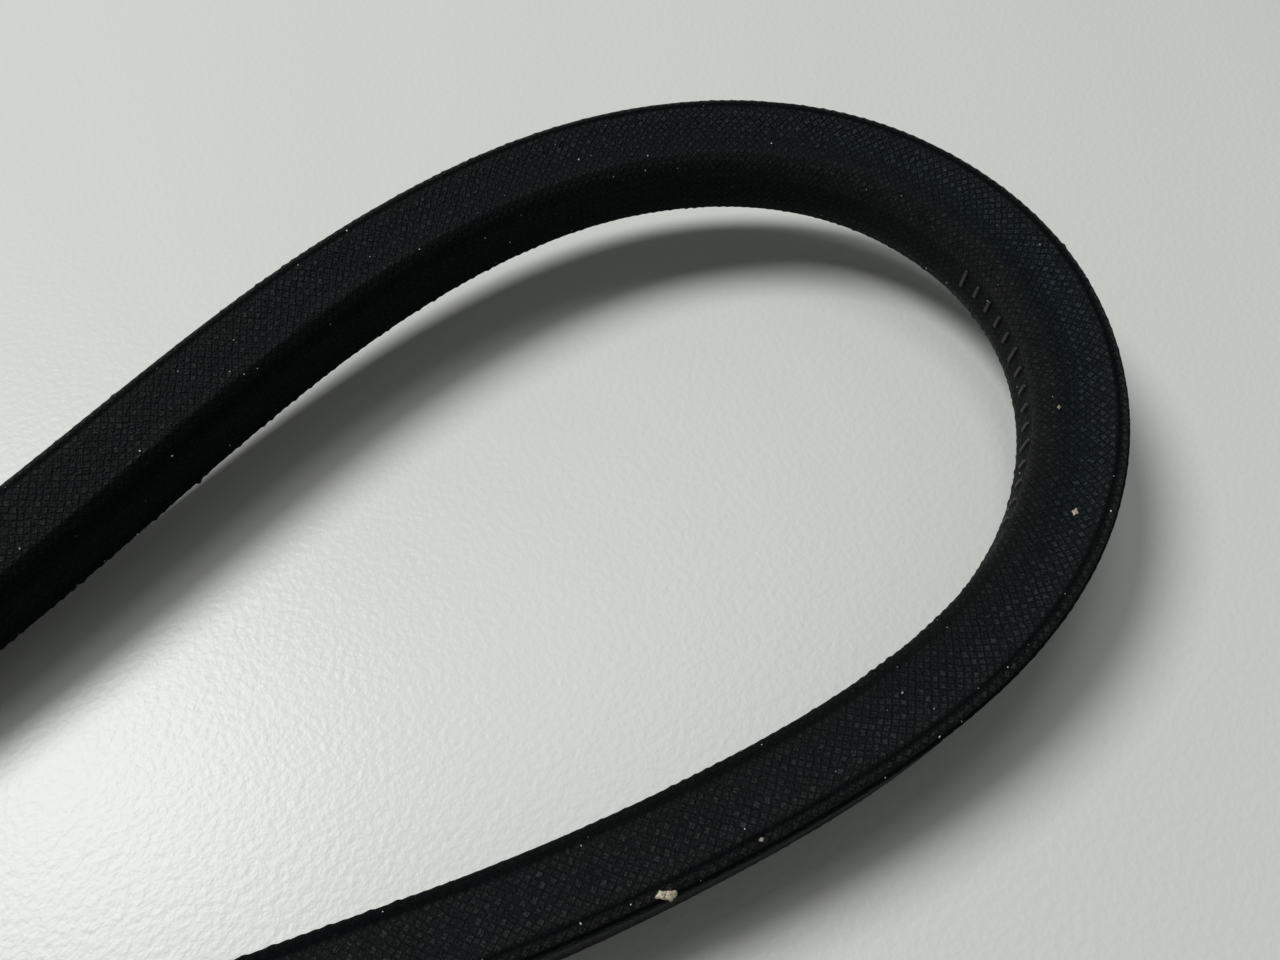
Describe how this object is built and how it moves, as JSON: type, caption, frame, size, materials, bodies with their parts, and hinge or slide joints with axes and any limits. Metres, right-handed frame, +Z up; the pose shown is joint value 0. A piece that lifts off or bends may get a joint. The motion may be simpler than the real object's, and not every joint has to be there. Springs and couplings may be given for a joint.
{
  "type": "v belt",
  "caption": "Endless wrapped V belt of section A, lying at rest on one flank, with a bias-cut fabric cover over rubber and wound tensile cord.",
  "frame": {"origin": "bottom centre of the belt's box, on the surface the belt lies on", "axes": "+X along the loop's longest extent towards its raised end, +Z up across the belt's width"},
  "size_m": [0.3228, 0.0778, 0.0185],
  "materials": {
    "cover_fabric": "black bias-woven fabric rubbed full of rubber, low sheen",
    "inner_fabric": "dark rubberised woven fabric, matte",
    "core_rubber": "matte black moulded rubber",
    "adhesion_gum": "soft satin gum rubber",
    "tensile_cord": "twisted cord dipped in adhesive, dull tan"
  },
  "bodies": {
    "root": {"outer_cover_ply": "cover_fabric", "inner_cover_ply": "inner_fabric", "tension_rubber": "core_rubber", "upper_adhesion_gum": "adhesion_gum", "tensile_cord_s_twist": "tensile_cord", "tensile_cord_z_twist": "tensile_cord", "lower_adhesion_gum": "adhesion_gum", "compression_rubber": "core_rubber"}
  },
  "joints": []
}
